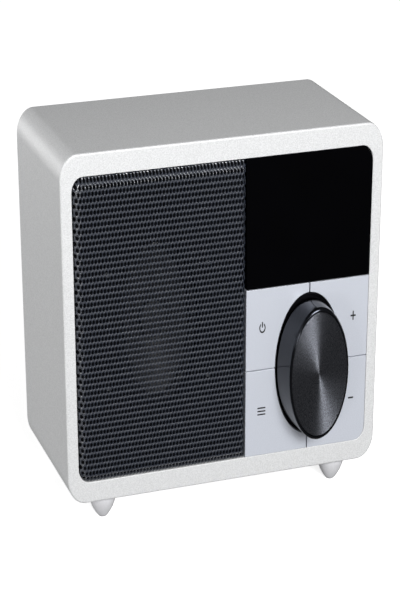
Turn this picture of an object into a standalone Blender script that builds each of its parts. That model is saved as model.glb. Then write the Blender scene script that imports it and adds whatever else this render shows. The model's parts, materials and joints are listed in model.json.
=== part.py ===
"""Small table radio: silver cabinet, perforated grille, display, four keys and a tuning knob.

Metres, +Z up, front towards -Y. The origin is at the middle of the footprint on the surface it
stands on.
"""
import math

import bmesh
import bpy

MM = 0.001

# Driving dimensions, in millimetres.
WIDTH = 115.0
HEIGHT = 127.9
FOOT_H = 9.5
Y_FRONT = -24.7
Y_BACK = 31.7
WALL = 2.2
CORNER_X, CORNER_Z = 6.2, 9.5
RIM_LEFT, RIM_RIGHT, RIM_TOP, RIM_BOTTOM = 3.9, 3.9, 8.0, 8.0
RIM_DEPTH = 3.0
RECESS_X, RECESS_Z = 3.8, 5.6
GAP = 0.35

DIVIDE_X = 7.3
WINDOW_Z = 72.4 + FOOT_H
KNOB_X, KNOB_Z = 31.0, 41.6 + FOOT_H
WELL_RX, WELL_RZ = 12.5, 27.0
SKIRT_RX, SKIRT_RZ = 12.2, 25.6
FACE_RX, FACE_RZ = 11.1, 25.2
KNOB_PROUD = 11.3
KNOB_BASE = 1.4
KEY_PROUD = 0.6
KEY_BACK = 2.2

BAFFLE_Y = Y_FRONT + RIM_DEPTH + 0.3
BAFFLE_T = 2.0
BOARD_Y = Y_FRONT + 10.0
BOARD_T = 1.6

DRIVER_X, DRIVER_Z = -23.0, 62.0 + FOOT_H
DRIVER_RX, DRIVER_RZ = 16.0, 32.0

COVER_T = 2.0
COVER_Y = Y_BACK - 1.5
ANT_X, ANT_Z = 42.0, 119.5 + FOOT_H
ANT_Y = Y_BACK + 2.4

LEFT, RIGHT = -WIDTH / 2, WIDTH / 2
BOTTOM, TOP = FOOT_H, FOOT_H + HEIGHT
REC_X0, REC_X1 = LEFT + RIM_LEFT, RIGHT - RIM_RIGHT
REC_Z0, REC_Z1 = BOTTOM + RIM_BOTTOM, TOP - RIM_TOP

FINISHES = {
    "silver_paint": ((0.62, 0.63, 0.65), 0.38, 0.35),
    "key_silver": ((0.66, 0.66, 0.70), 0.32, 0.40),
    "grille_steel": ((0.03, 0.03, 0.035), 0.40, 0.50),
    "black_plastic": ((0.025, 0.025, 0.028), 0.50, 0.0),
    "gloss_black": ((0.01, 0.01, 0.012), 0.06, 0.0),
    "chrome": ((0.85, 0.85, 0.86), 0.06, 1.0),
    "spun_metal": ((0.16, 0.16, 0.18), 0.30, 1.0),
    "steel": ((0.55, 0.56, 0.58), 0.30, 1.0),
    "paper": ((0.06, 0.06, 0.065), 0.85, 0.0),
    "rubber": ((0.03, 0.03, 0.03), 0.80, 0.0),
    "foot_white": ((0.80, 0.80, 0.80), 0.40, 0.0),
    "board": ((0.03, 0.20, 0.09), 0.50, 0.0),
    "ferrite": ((0.10, 0.10, 0.11), 0.60, 0.3),
    "copper": ((0.70, 0.33, 0.18), 0.35, 1.0),
    "lcd": ((0.08, 0.10, 0.12), 0.15, 0.0),
}


def clear_scene():
    """Remove every object that the file opened with."""
    for obj in list(bpy.data.objects):
        bpy.data.objects.remove(obj, do_unlink=True)


def finish(name):
    """Return the named Principled material, made on first use."""
    mat = bpy.data.materials.get(name)
    if mat is None:
        colour, rough, metal = FINISHES[name]
        mat = bpy.data.materials.new(name)
        mat.use_nodes = True
        shader = mat.node_tree.nodes["Principled BSDF"]
        shader.inputs["Base Color"].default_value = (*colour, 1.0)
        shader.inputs["Roughness"].default_value = rough
        shader.inputs["Metallic"].default_value = metal
    return mat


def ring(axis, centre, ra, rb, steps=24):
    """Ellipse of points around one axis; ra and rb are the half widths across it."""
    cx, cy, cz = centre
    points = []
    for i in range(steps):
        a = math.tau * i / steps
        u, v = ra * math.cos(a), rb * math.sin(a)
        points.append({"X": (cx, cy + u, cz + v), "Y": (cx + u, cy, cz + v),
                       "Z": (cx + u, cy + v, cz)}[axis])
    return points


def rounded(x0, x1, z0, z1, radii, y, steps=5):
    """Rectangle in a Y plane with its own two radii at each corner, from lower left round."""
    corners = [(x0, z0, 1, 1, 180), (x1, z0, -1, 1, 270), (x1, z1, -1, -1, 0), (x0, z1, 1, -1, 90)]
    points = []
    for (x, z, sx, sz, start), (rx, rz) in zip(corners, radii):
        for i in range(steps + 1):
            a = math.radians(start + 90 * i / steps)
            points.append((x + sx * rx + rx * math.cos(a), y, z + sz * rz + rz * math.sin(a)))
    return points


def inset(points, amount):
    """Move a loop in a Y plane inwards by one amount along its corner bisectors."""
    moved = []
    n = len(points)
    area = sum(points[i][0] * points[(i + 1) % n][2] - points[(i + 1) % n][0] * points[i][2]
               for i in range(n))
    sign = 1 if area > 0 else -1
    for i in range(n):
        (ax, _, az), (bx, y, bz), (cx, _, cz) = points[i - 1], points[i], points[(i + 1) % n]
        d1, d2 = math.hypot(bx - ax, bz - az), math.hypot(cx - bx, cz - bz)
        n1 = (-(bz - az) / d1 * sign, (bx - ax) / d1 * sign)
        n2 = (-(cz - bz) / d2 * sign, (cx - bx) / d2 * sign)
        k = amount / max(0.35, 1 + n1[0] * n2[0] + n1[1] * n2[1])
        moved.append((bx + (n1[0] + n2[0]) * k, y, bz + (n1[1] + n2[1]) * k))
    return moved


def at_y(points, y):
    """Copy a loop into another Y plane."""
    return [(x, y, z) for x, _, z in points]


class Solid:
    """Collects closed bodies for one named node."""

    def __init__(self):
        self.bm = bmesh.new()

    def loft(self, loops, closed=False):
        """Skin loops of equal length; ends are capped, or joined to each other when closed."""
        rows = [[self.bm.verts.new((x * MM, y * MM, z * MM)) for x, y, z in loop]
                for loop in loops]
        n = len(rows[0])
        pairs = list(zip(rows, rows[1:])) + ([(rows[-1], rows[0])] if closed else [])
        for low, high in pairs:
            for i in range(n):
                j = (i + 1) % n
                self.bm.faces.new((low[i], low[j], high[j], high[i]))
        if not closed:
            self.bm.faces.new(rows[0])
            self.bm.faces.new(rows[-1])
        return self

    def box(self, x0, x1, y0, y1, z0, z1):
        """Add a plain block."""
        base = [(x0, z0), (x1, z0), (x1, z1), (x0, z1)]
        return self.loft([[(x, y, z) for x, z in base] for y in (y0, y1)])

    def rod(self, axis, centre, stations, steps=20):
        """Add a turned body: stations are (distance along the axis, radius)."""
        k = "XYZ".index(axis)
        loops = []
        for along, radius in stations:
            c = list(centre)
            c[k] += along
            loops.append(ring(axis, c, radius, radius, steps))
        return self.loft(loops)

    def tube(self, axis, centre, a, b, outer, inner, steps=20):
        """Add an open pipe from a to b along the axis."""
        k = "XYZ".index(axis)
        loops = []
        for along, radius in ((a, outer), (b, outer), (b, inner), (a, inner)):
            c = list(centre)
            c[k] += along
            loops.append(ring(axis, c, radius, radius, steps))
        return self.loft(loops, closed=True)

    def make(self, name, material, smooth=False, origin=None):
        """Write the bodies to one object, outward facing, with sharp edges kept sharp."""
        bmesh.ops.recalc_face_normals(self.bm, faces=self.bm.faces)
        for edge in self.bm.edges:
            edge.smooth = edge.is_manifold and edge.calc_face_angle(0.0) < math.radians(34)
        for face in self.bm.faces:
            face.smooth = smooth
        mesh = bpy.data.meshes.new(name)
        self.bm.to_mesh(mesh)
        self.bm.free()
        obj = bpy.data.objects.new(name, mesh)
        bpy.context.scene.collection.objects.link(obj)
        mesh.materials.append(finish(material))
        if origin:
            ox, oy, oz = (v * MM for v in origin)
            for v in mesh.vertices:
                v.co.x, v.co.y, v.co.z = v.co.x - ox, v.co.y - oy, v.co.z - oz
            obj.location = (ox, oy, oz)
        return obj


def cut(target, name, solid, operation="DIFFERENCE"):
    """Subtract (or add) a helper solid with an exact Boolean."""
    helper = solid.make(name, "black_plastic")
    helper.hide_render = True
    helper.display_type = "WIRE"
    mod = target.modifiers.new(name, "BOOLEAN")
    mod.operation = operation
    mod.solver = "EXACT"
    mod.object = helper


def build_cabinet():
    """Silver sleeve with a thick front rim, open at the back."""
    outer = [(CORNER_X, CORNER_Z)] * 4
    inner = [(CORNER_X - WALL, CORNER_Z - WALL)] * 4
    recess = [(RECESS_X, RECESS_Z)] * 4
    soft = [(CORNER_X - 0.6, CORNER_Z - 0.6)] * 4
    soft2 = [(CORNER_X - 0.2, CORNER_Z - 0.2)] * 4
    loops = [
        rounded(LEFT, RIGHT, BOTTOM, TOP, outer, Y_BACK),
        rounded(LEFT, RIGHT, BOTTOM, TOP, outer, Y_FRONT + 0.8),
        rounded(LEFT + 0.2, RIGHT - 0.2, BOTTOM + 0.2, TOP - 0.2, soft2, Y_FRONT + 0.25),
        rounded(LEFT + 0.8, RIGHT - 0.8, BOTTOM + 0.8, TOP - 0.8, soft, Y_FRONT),
        rounded(REC_X0, REC_X1, REC_Z0, REC_Z1, recess, Y_FRONT),
        rounded(REC_X0, REC_X1, REC_Z0, REC_Z1, recess, Y_FRONT + RIM_DEPTH),
        rounded(LEFT + WALL, RIGHT - WALL, BOTTOM + WALL, TOP - WALL, inner, Y_FRONT + RIM_DEPTH),
        rounded(LEFT + WALL, RIGHT - WALL, BOTTOM + WALL, TOP - WALL, inner, Y_BACK),
    ]
    shell = Solid().loft(loops, closed=True).make("cabinet_shell", "silver_paint", True)
    holes = Solid()
    for x, y in foot_places():
        holes.rod("Z", (x, y, BOTTOM), [(-1.0, 1.6), (WALL + 1.0, 1.6)], 12)
    cut(shell, "cabinet_holes", holes)


def build_baffle():
    """Plate behind the front panels, with the speaker, display, key and knob openings."""
    edge = WALL + 0.3
    radii = [(CORNER_X - edge, CORNER_Z - edge)] * 4
    loop = rounded(LEFT + edge, RIGHT - edge, BOTTOM + edge, TOP - edge, radii, BAFFLE_Y)
    plate = Solid().loft([loop, at_y(loop, BAFFLE_Y + BAFFLE_T)])
    plate = plate.make("front_baffle", "black_plastic")
    y0, y1 = BAFFLE_Y - 1, BAFFLE_Y + BAFFLE_T + 1
    tool = Solid()
    tool.loft([ring("Y", (DRIVER_X, y, DRIVER_Z), DRIVER_RX - 1.0, DRIVER_RZ - 1.0, 40)
               for y in (y0, y1)])
    tool.box(12.0, 50.0, y0, y1, WINDOW_Z + 5.5, REC_Z1 - 5.5)
    tool.rod("Y", (KNOB_X, 0, KNOB_Z), [(y0, 4.4), (y1, 4.4)], 20)
    for x, z in stem_places():
        tool.box(x - 1.9, x + 1.9, y0, y1, z - 1.9, z + 1.9)
    for x, z in driver_screw_places():
        tool.rod("Y", (x, 0, z), [(y0, 1.2), (y1, 1.2)], 12)
    cut(plate, "baffle_openings", tool)
    posts = Solid()
    for x in (14.0, 48.6):
        posts.rod("Y", (x, 0, KNOB_Z), [(BAFFLE_Y + 1.0, 2.4), (BOARD_Y - 0.3, 2.4),
                                        (BOARD_Y - 0.3, 1.0), (BOARD_Y + BOARD_T + 0.6, 1.0)], 14)
    cut(plate, "baffle_posts", posts, "UNION")


def build_grille():
    """Formed steel pan: a flange all round and a raised flat front."""
    x0, x1 = REC_X0 + GAP, DIVIDE_X - GAP / 2
    z0, z1 = REC_Z0 + GAP, REC_Z1 - GAP
    r = [(RECESS_X - GAP, RECESS_Z - GAP), (0.8, 1.2), (0.8, 1.2), (RECESS_X - GAP, RECESS_Z - GAP)]
    t = 0.7
    side = rounded(x0, x1, z0, z1, r, Y_FRONT + 2.8)
    rf = [(2.8, 3.4), (0.5, 0.8), (0.5, 0.8), (2.8, 3.4)]
    flat = rounded(x0 + 1.3, x1 - 1.3, z0 + 2.8, z1 - 2.8, rf, Y_FRONT - 2.0)
    inner = inset(side, t)
    flat_in = inset(flat, t * 0.6)
    loops = [flat, at_y(side, Y_FRONT - 0.5), side, inner, at_y(inner, Y_FRONT - 0.1),
             at_y(flat_in, Y_FRONT - 2.0 + t)]
    Solid().loft(loops).make("speaker_grille", "grille_steel")


def driver_screw_places():
    """X and Z of the four loudspeaker screws."""
    return [(DRIVER_X + sx * (DRIVER_RX + 2.0), DRIVER_Z + sz * 21.0)
            for sx in (-1, 1) for sz in (-1, 1)]


def oval_rings(stations, steps=36):
    """Ellipses on the loudspeaker axis; stations are (y, half width, half height)."""
    return [ring("Y", (DRIVER_X, y, DRIVER_Z), rx, rz, steps) for y, rx, rz in stations]


def build_driver():
    """Oval loudspeaker behind the baffle: gasket, basket, surround, cone, cap, coil, magnet."""
    y = BAFFLE_Y + BAFFLE_T + 0.3
    rx, rz = DRIVER_RX, DRIVER_RZ
    frame = rounded(DRIVER_X - rx - 4.2, DRIVER_X + rx + 4.2, DRIVER_Z - rz - 2.5,
                    DRIVER_Z + rz + 2.5, [(4.5, 8.0)] * 4, y + 1.3, 8)
    # The gasket and the basket flange share one outline, so their loops have equal length.
    n = len(frame)
    hole = ring("Y", (DRIVER_X, y, DRIVER_Z), rx - 0.8, rz - 0.8, n)
    shift = n // 2
    hole = hole[shift:] + hole[:shift]
    gasket = Solid().loft([at_y(frame, y), at_y(frame, y + 1.0), at_y(hole, y + 1.0),
                           at_y(hole, y)], closed=True).make("speaker_gasket", "rubber")
    y += 1.3
    basket = Solid().loft([
        frame, at_y(frame, y + 1.2),
        *[(lambda q: q[shift:] + q[:shift])(ring("Y", (DRIVER_X, yy, DRIVER_Z), a, b, n))
          for yy, a, b in ((y + 1.2, rx + 1.0, rz + 1.0), (y + 8.5, rx - 4.5, rz - 17.0),
                           (y + 9.7, 9.5, 9.5), (y + 9.7, 5.6, 5.6), (y + 8.6, 5.6, 5.6),
                           (y + 7.6, rx - 5.6, rz - 18.0), (y + 1.2, rx - 0.2, rz - 0.2),
                           (y, rx - 0.2, rz - 0.2))]], closed=True)
    basket = basket.make("speaker_basket", "steel", True)
    holes = Solid()
    for x, z in driver_screw_places():
        holes.rod("Y", (x, 0, z), [(y - 2.0, 1.2), (y + 2.0, 1.2)], 12)
    cut(basket, "basket_holes", holes)
    gasket_holes = Solid()
    for x, z in driver_screw_places():
        gasket_holes.rod("Y", (x, 0, z), [(y - 2.0, 1.2), (y + 2.0, 1.2)], 12)
    cut(gasket, "gasket_holes", gasket_holes)
    roll = [(y + 0.2, rx - 1.3, rz - 1.3), (y - 0.6, rx - 1.6, rz - 1.6),
            (y - 1.3, rx - 2.7, rz - 2.7), (y - 0.9, rx - 3.8, rz - 3.8),
            (y + 0.3, rx - 4.2, rz - 4.2), (y + 0.8, rx - 4.2, rz - 4.2),
            (y - 0.5, rx - 3.5, rz - 3.5), (y - 0.8, rx - 2.7, rz - 2.7),
            (y - 0.1, rx - 1.9, rz - 1.9), (y + 0.8, rx - 1.3, rz - 1.3)]
    Solid().loft(oval_rings(roll), closed=True).make("speaker_surround", "rubber", True)
    cone = [(y + 0.3, rx - 4.6, rz - 4.6), (y + 3.2, rx - 8.2, rz - 15.0), (y + 6.2, 3.8, 4.6),
            (y + 6.8, 3.8, 4.6), (y + 3.8, rx - 8.2, rz - 15.0), (y + 0.9, rx - 4.6, rz - 4.6)]
    centre = (DRIVER_X, y, DRIVER_Z)
    Solid().loft(oval_rings(cone), closed=True).make("speaker_cone", "paper", True, centre)
    cap = [(y + 3.0, 1.6, 2.0), (y + 3.3, 3.4, 4.6), (y + 4.0, 5.0, 7.0), (y + 4.5, 5.2, 7.4),
           (y + 4.2, 3.0, 4.0)]
    cap = [(y + 1.9, 1.6, 2.2), (y + 2.2, 3.2, 4.6), (y + 2.7, 4.6, 6.9), (y + 3.1, 4.6, 6.9),
           (y + 2.6, 1.6, 2.2)]
    Solid().loft(oval_rings(cap, 28)).make("dust_cap", "paper", True, centre)
    Solid().tube("Y", (DRIVER_X, y, DRIVER_Z), 7.1, 14.5, 4.6, 4.2, 24).make(
        "voice_coil", "copper", True, centre)
    magnet = Solid()
    magnet.rod("Y", (DRIVER_X, y, DRIVER_Z), [
        (10.0, 12.0), (19.0, 12.0), (19.6, 11.4), (19.6, 11.3), (19.6, 5.0), (16.5, 5.0)][:3], 28)
    magnet = magnet.make("speaker_magnet", "ferrite", True)
    slot = Solid().tube("Y", (DRIVER_X, y, DRIVER_Z), 9.0, 16.5, 5.0, 3.8, 24)
    cut(magnet, "magnet_gap", slot)
    back = y + 1.2
    for i, (x, z) in enumerate(driver_screw_places(), 1):
        screw = Solid().rod("Y", (x, 0, z), [(BAFFLE_Y + 0.2, 0.9), (back + 0.3, 0.9),
                                             (back + 0.3, 1.9), (back + 1.3, 1.7)], 12)
        screw.make(f"speaker_screw_{i}", "steel", True)


def build_display():
    """Dark window with a bevelled top, and the panel and frame behind it."""
    x0, x1 = DIVIDE_X + GAP / 2, REC_X1 - GAP
    z0, z1 = WINDOW_Z + 0.2, REC_Z1 - GAP
    r = [(0.5, 0.8), (0.5, 0.8), (RECESS_X - GAP, RECESS_Z - GAP), (0.5, 0.8)]
    rf = [(0.4, 0.6), (0.4, 0.6), (3.4, 4.6), (0.4, 0.6)]
    loops = [rounded(x0, x1, z0, z1, r, Y_FRONT + 2.7), rounded(x0, x1, z0, z1, r, Y_FRONT + 0.3),
             rounded(x0 + 0.3, x1 - 0.3, z0 + 0.3, z1 - 1.5, rf, Y_FRONT - 1.0)]
    Solid().loft(loops).make("display_window", "gloss_black")
    y = BAFFLE_Y
    panel = Solid().box(12.5, 49.5, y + 0.2, y + 3.2, WINDOW_Z + 6.0, REC_Z1 - 6.0)
    panel.make("display_panel", "lcd")
    frame = Solid()
    hole = [(13.5, WINDOW_Z + 7), (48.5, WINDOW_Z + 7), (48.5, REC_Z1 - 7), (13.5, REC_Z1 - 7)]
    edge = [(10.0, WINDOW_Z + 3), (52.0, WINDOW_Z + 3), (52.0, REC_Z1 - 3), (10.0, REC_Z1 - 3)]
    frame.loft([[(x, v, z) for x, z in pts] for pts, v in
                ((edge, y + 3.6), (edge, y + 5.0), (hole, y + 5.0), (hole, y + 3.6))], closed=True)
    frame.make("display_frame", "black_plastic")


def stem_places():
    """X and Z of the four key stems: power, mode, plus, minus."""
    return [(14.5, KNOB_Z + 26.0), (14.5, KNOB_Z - 28.0), (49.0, KNOB_Z + 26.0),
            (49.0, KNOB_Z - 28.0)]


def build_keys():
    """Four quadrant keys around the knob well; each has a stem down to its switch."""
    x0, x1 = DIVIDE_X + GAP / 2, REC_X1 - GAP
    z0, z1 = REC_Z0 + GAP, WINDOW_Z - 0.2
    half = 0.2
    rows = [("key_power", -1, 1, x0, z1, (0.4, 0.6)), ("key_mode", -1, -1, x0, z0, (0.4, 0.6)),
            ("key_plus", 1, 1, x1, z1, (0.4, 0.6)), ("key_minus", 1, -1, x1, z0,
                                                     (RECESS_X - GAP, RECESS_Z - GAP))]
    for (name, sx, sz, xe, ze, (rx, rz)), (px, pz) in zip(rows, stem_places()):
        seam_x, seam_z = KNOB_X + sx * half, KNOB_Z + sz * half
        arc_x, arc_z = WELL_RX + 0.2, WELL_RZ + 0.2
        a0 = math.asin(half / arc_z)
        a1 = math.acos(half / arc_x)
        pts = [(xe, Y_FRONT, seam_z)]
        for i in range(13):
            a = a0 + (a1 - a0) * i / 12
            pts.append((KNOB_X + sx * arc_x * math.cos(a), Y_FRONT, KNOB_Z + sz * arc_z * math.sin(a)))
        pts.append((seam_x, Y_FRONT, ze))
        for i in range(6):
            a = math.radians(90 - 18 * i)
            pts.append((xe - sx * rx + sx * rx * math.cos(a), Y_FRONT,
                        ze - sz * rz + sz * rz * math.sin(a)))
        front = Y_FRONT - KEY_PROUD
        body = Solid().loft([at_y(pts, Y_FRONT + KEY_BACK), at_y(pts, front + 0.3),
                             at_y(inset(pts, 0.3), front)])
        key = body.make(name, "key_silver")
        stem = Solid().box(px - 1.5, px + 1.5, Y_FRONT + KEY_BACK - 1, BOARD_Y - 2.6 - 0.9,
                           pz - 1.5, pz + 1.5)
        cut(key, name + "_stem", stem, "UNION")


def knob_rings(stations, steps=48):
    """Ellipses on the knob axis; stations are (y, half width, half height)."""
    return [ring("Y", (KNOB_X, y, KNOB_Z), rx, rz, steps) for y, rx, rz in stations]


def build_knob():
    """Oval knob: polished skirt, dark spun face, hub and shaft, in a black well."""
    f = Y_FRONT
    well = [(f + 2.6, WELL_RX - 0.2, WELL_RZ - 0.2), (f - 0.1, WELL_RX - 0.2, WELL_RZ - 0.2),
            (f - 0.3, WELL_RX - 0.4, WELL_RZ - 0.4), (f + 1.4, WELL_RX - 0.9, WELL_RZ - 1.0),
            (f + 1.8, 5.0, 5.0), (f + 2.6, 5.0, 5.0)]
    Solid().loft(knob_rings(well), closed=True).make("knob_well", "gloss_black", True)
    axis = (KNOB_X, Y_FRONT, KNOB_Z)
    front, base = f - KNOB_PROUD, f - KNOB_BASE
    skirt = [(base, SKIRT_RX, SKIRT_RZ), (front + 0.5, FACE_RX, FACE_RZ),
             (front, FACE_RX - 0.25, FACE_RZ - 0.5), (front + 0.1, FACE_RX - 0.35, FACE_RZ - 0.7),
             (front + 1.8, FACE_RX - 0.4, FACE_RZ - 0.8),
             (front + 3.0, FACE_RX - 1.4, FACE_RZ - 1.9), (base, SKIRT_RX - 1.2, SKIRT_RZ - 1.9)]
    Solid().loft(knob_rings(skirt), closed=True).make("knob_skirt", "chrome", True, axis)
    face = [(front + 0.1, FACE_RX - 0.8, FACE_RZ - 1.3), (front + 0.3, FACE_RX - 0.7, FACE_RZ - 1.1),
            (front + 1.4, FACE_RX - 0.75, FACE_RZ - 1.2)]
    Solid().loft(knob_rings(face)).make("knob_face", "spun_metal", True, axis)
    hub = Solid().loft(knob_rings([(front + 1.7, 8.2, 20.0), (front + 3.2, 8.2, 20.0),
                                   (front + 3.2, 4.2, 4.2), (f + 3.0, 3.9, 3.9),
                                   (f + 3.0, 2.6, 2.6), (front + 4.0, 2.6, 2.6)][:4]))
    hub = hub.make("knob_hub", "black_plastic", True, axis)
    cut(hub, "hub_bore", Solid().rod("Y", (KNOB_X, f, KNOB_Z), [(-6.6, 2.6), (6.0, 2.6)], 20))
    shaft = Solid().rod("Y", (KNOB_X, f, KNOB_Z), [(-6.0, 2.2), (4.6, 2.2), (4.6, 2.0), (7.1, 2.0)], 20)
    shaft.make("knob_shaft", "steel", True, axis)


def build_controls():
    """Encoder, switches and the board they sit on."""
    y = BOARD_Y
    body = Solid().box(KNOB_X - 6.5, KNOB_X + 6.5, y - 3.6, y - 0.3, KNOB_Z - 6.5, KNOB_Z + 6.5)
    body = body.make("encoder_body", "steel")
    cut(body, "encoder_bore", Solid().rod("Y", (KNOB_X, y, KNOB_Z), [(-5.0, 2.3), (-1.6, 2.3)], 20))
    for name, (x, z) in zip(("power", "mode", "plus", "minus"), stem_places()):
        steps = ((-0.3, 2.2), (-1.8, 2.2), (-1.8, 1.1), (-2.6, 1.1))
        loops = [[(x + sx * w, y + d, z + sz * w) for sx, sz in ((-1, -1), (1, -1), (1, 1), (-1, 1))]
                 for d, w in steps]
        Solid().loft(loops).make("switch_" + name, "black_plastic")
    board = Solid().box(10.5, 52.5, y, y + BOARD_T, KNOB_Z - 31.0, KNOB_Z + 30.0)
    board = board.make("control_board", "board")
    cut(board, "board_holes", _posts([(14.0, KNOB_Z), (48.6, KNOB_Z)], y - 1, y + BOARD_T + 1, 1.3))


def _posts(places, a, b, radius):
    """Round cutters along Y at each place."""
    solid = Solid()
    for x, z in places:
        solid.rod("Y", (x, 0, z), [(a, radius), (b, radius)], 12)
    return solid


def build_main_board():
    """Radio board lying on the cabinet floor, with its larger parts."""
    z = BOTTOM + WALL + 4.0
    y0, y1 = -5.0, 17.0
    board = Solid().box(-44.0, 44.0, y0 + 0.5, y1 - 0.5, z, z + 1.6)
    board.make("main_board", "board")
    for name, side in (("board_rail_left", -1), ("board_rail_right", 1)):
        xs = [(48.0, 0.3), (43.0, 0.3), (43.0, 3.7), (44.5, 3.7), (44.5, 5.9), (43.0, 5.9),
              (43.0, 8.0), (48.0, 8.0)]
        loops = [[(side * x, y, BOTTOM + WALL + h) for x, h in xs] for y in (y0, y1)]
        Solid().loft(loops).make(name, "black_plastic")
    Solid().box(-30.0, -12.0, 0.0, 12.0, z + 1.9, z + 6.5).make("tuner_module", "steel")
    Solid().box(-6.0, 8.0, 0.0, 12.0, z + 1.9, z + 4.0).make("amplifier_chip", "black_plastic")
    capacitor = Solid().rod("Z", (24.0, 6.0, z), [(1.9, 4.0), (13.0, 4.0), (13.6, 3.6)], 20)
    capacitor.make("capacitor", "ferrite", True)


def foot_places():
    """X and Y of the four feet."""
    return [(x, y) for x in (-43.5, 43.5) for y in (Y_FRONT + 6.6, Y_BACK - 6.6)]


def build_feet():
    """Tapered feet, each with a stud that passes through the cabinet floor."""
    names = ["foot_front_left", "foot_rear_left", "foot_front_right", "foot_rear_right"]
    for name, (x, y) in zip(names, foot_places()):
        top = FOOT_H - 0.3
        profile = [(FOOT_H + WALL + 1.6, 1.0), (FOOT_H + WALL + 1.2, 1.3), (top, 1.3), (top, 4.6),
                   (top - 0.6, 4.7), (6.3, 4.4), (4.3, 3.75), (2.1, 2.65), (0.9, 1.85), (0.3, 1.35),
                   (0.0, 0.8)]
        Solid().rod("Z", (x, y, 0), profile, 28).make(name, "foot_white", True)


def cover_screw_places():
    """X and Z of the rear cover screws."""
    return [(x, z) for x in (-49.0, 49.0) for z in (BOTTOM + 9.0, TOP - 20.0)]


def build_rear():
    """Vented rear cover with its screws, the terminal plate and two sockets."""
    edge = WALL + 0.3
    radii = [(CORNER_X - edge, CORNER_Z - edge)] * 4
    loop = rounded(LEFT + edge, RIGHT - edge, BOTTOM + edge, TOP - edge, radii, COVER_Y - COVER_T)
    cover = Solid().loft([loop, at_y(loop, COVER_Y)]).make("rear_cover", "black_plastic")
    tool = Solid()
    for i in range(7):
        z = BOTTOM + 62.0 + 6.0 * i
        tool.box(-28.0, 28.0, COVER_Y - COVER_T - 1, COVER_Y + 1, z - 1.0, z + 1.0)
    for x, z in cover_screw_places():
        tool.rod("Y", (x, 0, z), [(COVER_Y - COVER_T - 1, 1.5), (COVER_Y + 1, 1.5)], 12)
    for x in (-8.0, 8.0):
        tool.rod("Y", (x, 0, BOTTOM + 24.0), [(COVER_Y - COVER_T - 1, 4.3), (COVER_Y + 1, 4.3)], 20)
    tool.rod("Y", (ANT_X, 0, ANT_Z), [(COVER_Y - COVER_T - 1, 2.5), (COVER_Y + 1, 2.5)], 20)
    cut(cover, "cover_openings", tool)
    for i, (x, z) in enumerate(cover_screw_places(), 1):
        screw = Solid().rod("Y", (x, 0, z), [(COVER_Y - 6.0, 1.2), (COVER_Y + 0.3, 1.2),
                                             (COVER_Y + 0.3, 2.5), (COVER_Y + 1.2, 2.3)], 14)
        screw.make(f"rear_screw_{i}", "steel", True)
    plate = rounded(-18.0, 18.0, BOTTOM + 14.0, BOTTOM + 34.0, [(2.0, 2.0)] * 4, COVER_Y + 0.3)
    plate = Solid().loft([plate, at_y(plate, COVER_Y + 1.2)]).make("terminal_plate", "gloss_black")
    holes = Solid()
    for x in (-8.0, 8.0):
        holes.rod("Y", (x, 0, BOTTOM + 24.0), [(COVER_Y, 4.3), (COVER_Y + 3, 4.3)], 20)
    cut(plate, "terminal_holes", holes)
    for name, x, bore in (("power_socket", -8.0, 2.75), ("headphone_socket", 8.0, 1.8)):
        y = COVER_Y
        loops = [ring("Y", (x, yy, BOTTOM + 24.0), r, r, 20) for yy, r in (
            (y - 10.0, bore), (y + 1.6, bore), (y + 1.6, 3.9), (y - 12.0, 3.9))]
        Solid().loft(loops).make(name, "black_plastic", True)


def build_antenna():
    """Telescopic aerial folded across the back, on a swivel with a tilting knuckle."""
    y, z = ANT_Y, ANT_Z
    base = Solid().rod("Y", (ANT_X, COVER_Y, ANT_Z), [(-4.0, 2.1), (0.3, 2.1), (0.3, 4.4), (1.5, 4.4)], 24)
    base = base.make("antenna_base", "black_plastic", True, (ANT_X, COVER_Y, ANT_Z))
    fork = Solid()
    for s in (-1, 1):
        fork.box(ANT_X - 2.2, ANT_X + 2.2, COVER_Y + 1.2, Y_BACK + 4.3,
                 ANT_Z + min(s * 1.3, s * 2.5), ANT_Z + max(s * 1.3, s * 2.5))
    cut(base, "antenna_fork", fork, "UNION")
    cut(base, "fork_bore", Solid().rod("Z", (ANT_X, y, z), [(-4.0, 0.85), (4.0, 0.85)], 14))
    pin = Solid().rod("Z", (ANT_X, y, z), [(-2.9, 1.2), (-2.8, 1.3), (-2.7, 0.8), (2.7, 0.8),
                                          (2.8, 1.3), (2.9, 1.2)], 14)
    pin.make("antenna_pin", "steel", True, (ANT_X, y, z))
    eye = Solid().tube("Z", (ANT_X, y, z), -1.0, 1.0, 1.9, 0.85, 20)
    tube = eye.make("antenna_tube_outer", "chrome", True, (ANT_X, y, z))
    arm = Solid().box(ANT_X - 3.8, ANT_X - 1.6, y - 0.9, y + 0.9, z - 0.95, z + 0.95)
    cut(tube, "antenna_neck", arm, "UNION")
    barrel = Solid().rod("X", (ANT_X, y, z), [(-3.2, 1.6), (-3.4, 1.9), (-76.0, 1.9)], 18)
    cut(tube, "antenna_barrel", barrel, "UNION")
    cut(tube, "antenna_bore", Solid().rod("X", (ANT_X, y, z), [(-4.6, 1.55), (-80.0, 1.55)], 18))
    rod = Solid().loft([ring("X", (ANT_X + a, y, z), r, r, 16) for a, r in (
        (-6.3, 0.95), (-79.0, 0.95), (-79.0, 1.25), (-5.0, 1.25))])
    rod.make("antenna_tube_middle", "chrome", True)
    rod = Solid().rod("X", (ANT_X, y, z), [(-6.6, 0.65), (-81.7, 0.65)], 14)
    rod.make("antenna_rod", "chrome", True)
    tip = Solid().rod("X", (ANT_X, y, z), [(-79.6, 1.2), (-80.0, 1.6), (-83.2, 1.7), (-84.0, 1.2)], 18)
    tip = tip.make("antenna_tip", "chrome", True)
    cut(tip, "tip_bore", Solid().rod("X", (ANT_X, y, z), [(-79.0, 0.95), (-82.2, 0.95)], 14))


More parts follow.
